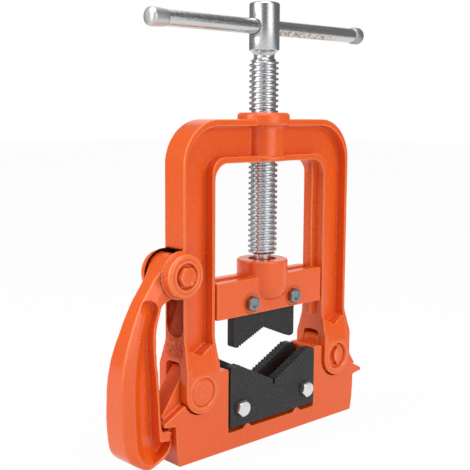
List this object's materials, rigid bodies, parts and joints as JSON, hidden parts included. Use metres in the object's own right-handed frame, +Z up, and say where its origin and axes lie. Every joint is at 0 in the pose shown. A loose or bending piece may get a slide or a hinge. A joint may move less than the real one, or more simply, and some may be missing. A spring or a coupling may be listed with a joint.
{
  "type": "yoke pipe vise",
  "caption": "Yoke pipe vise with a cast base, toothed V jaws, a hinged yoke held by a swinging hook, and a lead screw with a sliding T handle.",
  "frame": {"origin": "on the flat underside of the base, under the axis of the lead screw", "axes": "+X along the vise from the latch hook to the hinge foot, +Y to the back along the clamped pipe, +Z up along the lead screw"},
  "size_m": [0.2547, 0.0412, 0.3297],
  "materials": {
    "orange_enamel": "glossy orange enamel over cast iron",
    "zinc_plate": "bright zinc plating on turned steel",
    "black_jaw": "black oxide, slightly rough"
  },
  "bodies": {
    "base": {"base_casting": "orange_enamel", "lower_jaw_front": "black_jaw", "lower_jaw_rear": "black_jaw", "lower_jaw_bolt_left": "zinc_plate", "lower_jaw_bolt_right": "zinc_plate", "lower_jaw_nut_left": "zinc_plate", "lower_jaw_nut_right": "zinc_plate"},
    "yoke": {"yoke_casting": "orange_enamel", "hinge_pin": "orange_enamel", "latch_pin": "orange_enamel", "hook_pivot_bolt": "orange_enamel", "hook_pivot_nut": "orange_enamel"},
    "hook": {"latch_hook": "orange_enamel"},
    "carrier": {"carrier_casting": "orange_enamel", "upper_jaw": "black_jaw", "upper_jaw_bolt_left": "zinc_plate", "upper_jaw_bolt_right": "zinc_plate", "upper_jaw_nut_left": "zinc_plate", "upper_jaw_nut_right": "zinc_plate"},
    "screw": {"lead_screw": "zinc_plate", "thrust_washer": "zinc_plate", "retaining_ring": "zinc_plate"},
    "handle": {"handle_bar": "zinc_plate"}
  },
  "joints": [
    {"name": "yoke_swing", "type": "hinge", "parent": "base", "child": "yoke", "pos_m": [0.0729, 0, 0.0504], "axis": [0, 1, 0], "range_deg": [0, 30]},
    {"name": "hook_swing", "type": "hinge", "parent": "yoke", "child": "hook", "pos_m": [-0.0889, 0, 0.136], "axis": [0, 1, 0], "range_deg": [0, 90]},
    {"name": "carrier_slide", "type": "slide", "parent": "yoke", "child": "carrier", "axis": [0, 0, 1], "range_m": [-0.028, 0.06]},
    {"name": "screw_turn", "type": "hinge", "parent": "carrier", "child": "screw", "pos_m": [0, 0, 0.311], "axis": [0, 0, 1], "range_deg": [-2520, 5400]},
    {"name": "handle_slide", "type": "slide", "parent": "screw", "child": "handle", "axis": [1, 0, 0], "range_m": [-0.088, 0.076]}
  ],
  "couplings": [
    {"joint": "hook_swing", "follows": "yoke_swing", "ratio": 3},
    {"joint": "carrier_slide", "follows": "screw_turn", "m_per_rad": 0.00063662}
  ]
}
